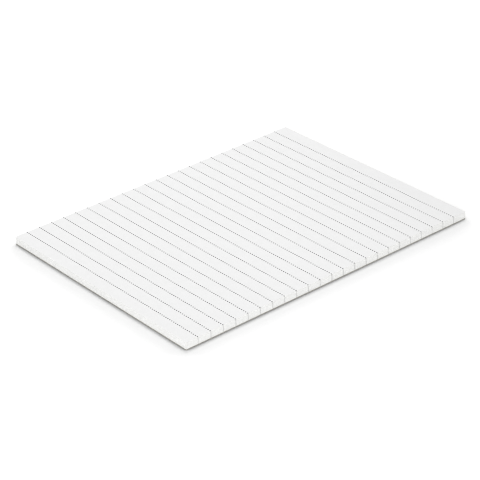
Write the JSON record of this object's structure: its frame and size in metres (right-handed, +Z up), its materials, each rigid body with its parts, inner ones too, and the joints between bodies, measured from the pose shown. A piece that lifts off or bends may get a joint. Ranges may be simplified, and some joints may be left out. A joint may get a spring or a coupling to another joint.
{
  "type": "legal pad",
  "caption": "Flat top-bound writing pad: a glued block of white ruled sheets on a thin chipboard backing, resting on its back.",
  "frame": {"origin": "centre of the underside of the pad, on the surface it lies on", "axes": "+X along the ruled lines, +Y up the page towards the bound end, +Z up out of the writing face"},
  "size_m": [0.216, 0.2798, 0.0065],
  "materials": {
    "paper": "uncoated white bond, printed with dotted grey rules",
    "chipboard": "grey recycled board with flecks",
    "padding_glue": "dried white padding compound, slightly glossy"
  },
  "bodies": {
    "root": {"page_block": "paper", "backing_board": "chipboard", "glue_binding": "padding_glue"}
  },
  "joints": []
}
